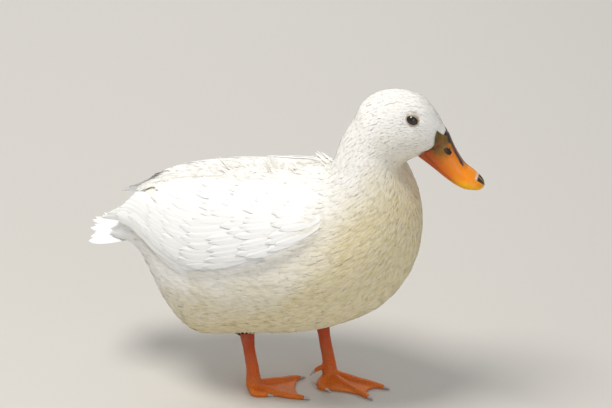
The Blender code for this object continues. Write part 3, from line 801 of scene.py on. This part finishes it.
# wings and tail: long vanes
wingTree = {-1: treeOf(nodes["wing_right"].data), 1: treeOf(nodes["wing_left"].data)}
def wingPoint(side, along, across):
    # a place on the folded wing's outer face: sections along, 0 at its upper edge and 1 at its lower one
    high = np.interp(along, wingEdges["along"], wingEdges["upper"])
    low = np.interp(along, wingEdges["along"], wingEdges["lower"])
    a = math.radians(high + (low - high) * across)
    i = int(np.clip(along, 0, len(sections) - 2))
    u = along - i
    centre = centres[i] * (1 - u) + centres[i + 1] * u
    ray = upwards[i] * math.cos(a) + np.array((0, side, 0)) * math.sin(a)
    hit, hitNormal, _, _ = wingTree[side].ray_cast(Vector(centre + ray * 0.3), Vector(-ray))
    if hit is None:
        hit, hitNormal = wingTree[side].find_nearest(Vector(centre + ray * (0.03 + 0.012 * min(along, 4))))[:2]
    out = np.array(hitNormal)
    # faces away from the body even at the wing's rim
    out = unit(out * 0.4 * (np.dot(out, ray) > 0.2) + ray * 0.6)
    return np.array(hit), out


def vanes(name, feathers, material, replaced=()):
    # feathers: dictionaries with a path of points and normals, a half width, a shape and a bow
    verts, quads, bakes, vaneUvs = [], [], [], []
    total = 0
    for f in feathers:
        path, normals = np.array(f["path"]), unit(np.array(f["normals"]))
        rows, cols = len(path), 7
        u = np.linspace(0, 1, rows)
        tangent = unit(np.gradient(path, axis=0))
        across = unit(np.cross(normals, tangent))
        tip = f.get("tip", 0.75)  # where the tip starts to narrow
        tipRound = np.sqrt(np.maximum(0, 1 - (np.maximum(u - tip, 0) / (1 - tip)) ** f.get("round", 2.0)))
        profile = np.minimum(1, 0.25 + u / 0.22) * np.where(u > tip, tipRound, 1)
        s = np.linspace(-1, 1, cols)
        offset = dice.random() * 50
        grid = []
        for i in range(rows):
            for k in range(cols):
                w = s[k] * f["half"] * profile[i]
                camber = -f.get("camber", 0.25) * f["half"] * s[k] ** 2 * profile[i]
                if abs(s[k]) < 0.2:
                    camber += 0.35 * mm  # the shaft
                grid.append(path[i] + across[i] * w + normals[i] * camber)
        verts.append(grid)
        quads.append(gridQuads(rows, cols) + total)
        total += rows * cols
        root = bakePlace(path[:1])[0]
        bakes.append([root + 0.0015 * np.array((s[k], 2 * u[i] - 1)) for i in range(rows) for k in range(cols)])
        length = np.linalg.norm(np.diff(path, axis=0), axis=1).sum()
        vaneUvs.append([(s[k] * f["half"] * 100 + offset, u[i] * length * 100 + offset)
                        for i in range(rows) for k in range(cols)])
    return makePiece(name, np.concatenate(verts), np.concatenate(quads), [], material, replaced,
                     np.concatenate(bakes), np.concatenate(vaneUvs))


def wingFeather(side, start, end, half, lift, rows=14, **more):
    # from start to end, each (along, across) on the wing's face, lifted by so many mm at root and tip
    path, normals = [], []
    for u in np.linspace(0, 1, rows):
        along = start[0] + (end[0] - start[0]) * u
        across = start[1] + (end[1] - start[1]) * u + more.get("sweep", 0) * 4 * u * (1 - u)
        hit, out = wingPoint(side, along, across)
        path.append(hit + out * (lift[0] + (lift[1] - lift[0]) * u) * mm)
        normals.append(out)
    for _ in range(3):
        for line in (path, normals):
            line[1:-1] = [(line[i - 1] + 2 * line[i] + line[i + 1]) / 4 for i in range(1, len(line) - 1)]
    return {"path": path, "normals": normals, "half": half * mm, **more}


def jitter(size):
    return size * (2 * dice.random() - 1)


for side, sideName in ((-1, "right"), (1, "left")):
    long, covering = [], []
    # primaries: slim blades stacked to the wing's tip, the lowest one longest
    for k in range(7):
        long.append(wingFeather(side, (3.9, 0.84 - 0.04 * k), (0.12 + 0.2 * k, 0.86 - 0.11 * k), 6.5 - 0.2 * k,
                                (-3.4 + 0.3 * k, -2.2 + 0.3 * k), tip=0.62, round=1.7, camber=0.2))
    # secondaries along the lower edge, each over the one in front
    for k in range(11):
        long.append(wingFeather(side, (7.3 - 0.42 * k, 0.84), (4.3 - 0.36 * k, 0.985 - 0.012 * k), 7.0,
                                (-3.0 + 0.12 * k, -1.4 + 0.06 * k), tip=0.8, round=2.4, sweep=0.03, camber=0.2))
    # tertials over the rump
    for k in range(6):
        long.append(wingFeather(side, (5.6 - 0.1 * k, 0.2 + 0.08 * k),
                                (1.5 + 0.24 * k + jitter(0.1), 0.12 + 0.14 * k), 11,
                                (-2.0, -5.2 + 0.55 * k), tip=0.6, round=1.9, camber=0.15))
    # greater coverts, then the smaller rows in front of and above them
    for k in range(1, 13):
        covering.append(wingFeather(side, (8.2 - 0.38 * k, 0.70 + jitter(0.02)),
                                    (5.7 - 0.36 * k + jitter(0.1), 0.90 - 0.008 * k), 6.2,
                                    (-2.4, -0.7), rows=10, tip=0.7, round=2.2, sweep=0.03, camber=0.16))
    for row in range(6):
        count = 15
        for k in range(count):
            across = 0.05 + 0.76 * (k + 0.5 * (row % 2) + 0.25 + jitter(0.25)) / count
            begin = 8.7 - 0.72 * row + jitter(0.22)
            covering.append(wingFeather(side, (begin, across),
                                        (begin - 1.5 - 0.12 * row + jitter(0.15), across + 0.05 + jitter(0.01)),
                                        5.6 + 0.3 * row, (-2.2, 0.1 - 0.1 * row), rows=8, tip=0.5, round=1.8, camber=0.14))
    vanes(f"wing_vanes_{sideName}", long, flightFeather)
    vanes(f"wing_coverts_{sideName}", covering, flightFeather)

# tail: a shallow fan of twelve, pointed, some a little shorter where worn
tailForm = {
    "feathers": 12, "half": 7.2, "spread": 46, "rootX": -150, "rise": 157,
    "worn": (0, 3, 7, 2, 5, 0, 0, 4, 1, 6, 2, 0),
}
fan = []
tailLow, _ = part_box("tail")
for k in range(tailForm["feathers"]):
    s = 2 * k / (tailForm["feathers"] - 1) - 1
    a = math.radians(s * tailForm["spread"] * 0.66)
    reach = -tailLow.x / mm + tailForm["rootX"] - tailForm["worn"][k] - 7 * s * s
    path, normals = [], []
    for u in np.linspace(0, 1, 14):
        x = tailForm["rootX"] - reach * u * math.cos(a * 0.75)
        y = s * 15 + reach * u * math.sin(a)
        z = tailForm["rise"] - 4.0 * s * s * u + 2.4 * (1 - abs(s)) - 2.2 * u + 1.5 * math.sin(3 * u) * (k % 2)
        path.append((x * mm, y * mm, z * mm))
        normals.append((0, s * 0.4, 1))
    fan.append({"path": path, "normals": normals, "half": tailForm["half"] * mm,
                "tip": 0.55, "round": 1.6, "camber": 0.22})
vanes("tail_vanes", fan, flightFeather, ["tail"])


def curve(start, startPull, endPull, end, rows):
    u = np.linspace(0, 1, rows)[:, None]
    return (start * (1 - u) ** 3 + 3 * startPull * u * (1 - u) ** 2
            + 3 * endPull * u * u * (1 - u) + end * u ** 3)


def bodyPoint(along, degrees):
    # the skin at a section and an angle from the back
    i = int(np.clip(along, 0, len(sections) - 2))
    u = along - i
    centre = centres[i] * (1 - u) + centres[i + 1] * u
    a = math.radians(degrees)
    ray = upwards[i] * math.cos(a) - sideways[i] * math.sin(a)
    hit, hitNormal, _, _ = skinTree.ray_cast(Vector(centre + ray * 0.3), Vector(-ray))
    if hit is None:
        hit, hitNormal = skinTree.find_nearest(Vector(centre + ray * 0.05))[:2]
    return np.array(hit), np.array(hitNormal)


# tail coverts close the rump over the roots of the tail, all the way round
rumpForm = {"rows": (3.5, 2.9, 2.3, 1.8), "around": 20, "half": 6.4, "reach": (-160, -166, -171, -175)}
rump = []
for row, along in enumerate(rumpForm["rows"]):
    for k in range(rumpForm["around"]):
        degrees = 360 * (k + 0.5 * (row % 2) + jitter(0.2)) / rumpForm["around"]
        a = math.radians(degrees)
        hit, out = bodyPoint(along + jitter(0.12), degrees)
        rise = (7.5 if math.cos(a) > 0 else 6) * math.cos(a)
        end = np.array((rumpForm["reach"][row] + jitter(3), -29 * math.sin(a), 158 + rise)) * mm
        lie = bodyLie(hit[None], out[None])[0]
        span = np.linalg.norm(end - hit)
        path = curve(hit - out * 0.5 * mm, hit + lie * span * 0.4 + out * 2.2 * mm,
                     end + np.array((span * 0.35, 0, 0)), end, 10)
        endOut = unit(np.array((0, -0.6 * math.sin(a), math.cos(a))))
        blend = np.linspace(0, 1, 10)[:, None]
        rump.append({"path": path, "normals": unit(out * (1 - blend) + endOut * blend), "half": rumpForm["half"] * mm,
                     "tip": 0.45, "round": 1.7, "camber": 0.2})
vanes("tail_coverts", rump, flightFeather)

# wisps: a few loose feather tips that stand off the back
wispForm = {
    "places": ((52, 3, 16, 7), (-6, 2, 10, 12), (-9, -3, 9, 10), (-52, -4, 18, 9), (-40, 3, 11, 6), (20, -2, 10, 5)),
    "blades": 6,
}
wisps = []
for x, y, length, height in wispForm["places"]:
    for k in range(wispForm["blades"]):
        start = Vector(((x + jitter(5)) * mm, (y + jitter(6)) * mm, 0.3))
        hit, out = skinTree.ray_cast(start, Vector((0, 0, -1)))[:2]
        hit, out = np.array(hit), np.array(out)
        wispLength = length * (0.75 + 0.4 * dice.random()) * mm
        end = hit + np.array((-wispLength, jitter(3) * mm, (height * (0.5 + 0.6 * dice.random()) + 2.5) * mm))
        path = curve(hit, hit + np.array((-wispLength * 0.4, 0, 2.6 * mm)),
                     end + np.array((wispLength * 0.3, 0, -1.2 * mm)), end, 8)
        wisps.append({"path": path, "normals": np.tile(unit(np.array((0.2, jitter(0.5), 1.0))), (8, 1)),
                      "half": 1.3 * mm, "tip": 0.3, "round": 1.2, "camber": 0.2})
vanes("back_wisps", wisps, contourFeather)

# belly feathers hang in a loose collar over the top of each leg
collarForm = {"count": 22, "rows": 2, "wide": 14, "narrow": 6.5, "drop": 8, "half": 2.6}
collar = []
for nodeName in ("leg_right", "leg_left"):
    low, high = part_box(nodeName)
    upper = np.array([tuple(v.co) for v in nodes[nodeName].data.vertices if v.co.z > high.z - 12 * mm])
    middle = upper.mean(0)
    for row in range(collarForm["rows"]):
        for k in range(collarForm["count"]):
            a = 2 * math.pi * (k + 0.5 * row + jitter(0.3)) / collarForm["count"]
            spoke = np.array((math.cos(a), math.sin(a), 0))
            wide = collarForm["wide"] - 3 * row
            over = Vector((middle[0] + spoke[0] * wide * mm, middle[1] + spoke[1] * wide * mm, 0))
            hit = skinTree.ray_cast(over, Vector((0, 0, 1)))[0]
            if hit is None:
                continue
            start = np.array(hit) + np.array((0, 0, 1 * mm))
            end = np.array((middle[0], middle[1], 0)) + spoke * (collarForm["narrow"] + 1.2 * row) * mm
            end[2] = start[2] - (collarForm["drop"] * (0.6 + 0.5 * dice.random()) - 2 * row) * mm
            path = curve(start, start - np.array((0, 0, 3.5 * mm)),
                         end + spoke * 2 * mm + np.array((0, 0, 3 * mm)), end, 8)
            collar.append({"path": path, "normals": np.tile(unit(spoke + np.array((0, 0, -0.6))), (8, 1)),
                           "half": collarForm["half"] * mm,
                           "tip": 0.35, "round": 1.4, "camber": 0.2})
vanes("leg_collars", collar, contourFeather)
print("wings and tail are feathered")


# reticulate scales, keratin over skin: orange, satin, a fine net of grooves
legSkinMaterial, tree, shader = startMaterial("scaled leg skin", {
    "Roughness": 0.5, "IOR": 1.5, "Subsurface Weight": 0.1,
                                                                 "Subsurface Scale": 0.003})
place = addNode(tree, "TexCoord")
scales = addNode(tree, "TexVoronoi", {"feature": "DISTANCE_TO_EDGE", "Scale": 620.0},
                 {"Vector": place.outputs["Object"]})
split = addNode(tree, "SeparateXYZ", links={"Vector": place.outputs["Object"]})
# the orange deepens up the shank to dark red-brown near the body: painted shade under the belly
height = addNode(tree, "ValToRGB", {"stops": [(0.0, "#EE7E10"), (0.2, "#DD640A"), (0.5, "#BC4406"), (0.85, "#7C2203")]})
paintedShadeUpLeg = addNode(tree, "MapRange", {"From Min": 0.0, "From Max": 0.1}, {"Value": split.outputs["Z"]})
feed(height, {"Fac": paintedShadeUpLeg})
groove = addNode(tree, "MapRange", {"From Max": 0.16, "To Min": 0.45, "To Max": 0.0}, {"Value": scales})
patchy = addNode(tree, "TexNoise", {"Scale": 90.0, "Detail": 4.0}, {"Vector": place.outputs["Object"]})
patchMask = addNode(tree, "MapRange", {"From Min": 0.5, "From Max": 0.75, "To Max": 0.45}, {"Value": patchy})
patched = addNode(tree, "Mix", {"data_type": "RGBA", 7: linear("#B07048")}, {0: patchMask, 6: height})
grooved = addNode(tree, "Mix", {"data_type": "RGBA", 7: linear("#7A2A06")}, {0: groove, 6: patched})
feed(shader, {"Base Color": grooved})
bump = addNode(tree, "Bump", {"Strength": 0.8, "Distance": 0.0008}, {"Height": scales})
feed(shader, {"Normal": bump})
legForm = {
    "nodes": ["leg_right", "foot_right", "leg_left", "foot_left"],
    "grow": 0.35 * mm, "voxel": 0.8 * mm, "smoothing": 4,
    "scute": 2.6, "fold": 3.4, "foldHeight": 22,
}
legSkin = nodeShell(legForm["nodes"], legForm["grow"])
remeshAs(legSkin, "leg_skin", legForm["voxel"], legForm["smoothing"])
place, normal = meshArrays(legSkin)
# scutes: broad plates down the shank, 2.6 mm apart, and folds of skin above the toes
shank = np.clip((place[:, 2] - 20 * mm) / (10 * mm), 0, 1)
plates = np.abs(np.sin(place[:, 2] / mm * math.pi / legForm["scute"] + place[:, 1] / mm * 0.5)) ** 0.5
nearFolds = np.exp(-((place[:, 2] - legForm["foldHeight"] * mm) / (7 * mm)) ** 2)
folds = nearFolds * np.abs(np.sin(place[:, 2] / mm * math.pi / legForm["fold"] + place[:, 0] / mm * 0.15)) ** 0.6
sunk = 0.1 + 0.35 * shank * (1 - plates) + 0.8 * folds * (place[:, 2] > 8 * mm)
place = place - normal * sunk[:, None] * mm
place[:, 2] = np.maximum(place[:, 2], 0)
finishSkin(legSkin, place, legSkinMaterial)
enrol(legSkin, legForm["nodes"])

# claw horn: pale grey-pink keratin, worn dull
clawHorn, tree, shader = startMaterial("claw horn", {"Roughness": 0.45, "IOR": 1.54})
place = addNode(tree, "TexCoord")
grain = addNode(tree, "TexNoise", {"Scale": 400.0, "Detail": 3.0}, {"Vector": place.outputs["Object"]})
tone = addNode(tree, "ValToRGB", {"stops": [(0.3, "#A89488"), (0.7, "#D2C4BC")]}, {"Fac": grain})
feed(shader, {"Base Color": tone})
for nodeName, node in nodes.items():
    if nodeName.startswith("claw"):
        node.data.materials.clear()
        node.data.materials.append(clawHorn)
print("legs are scaled")
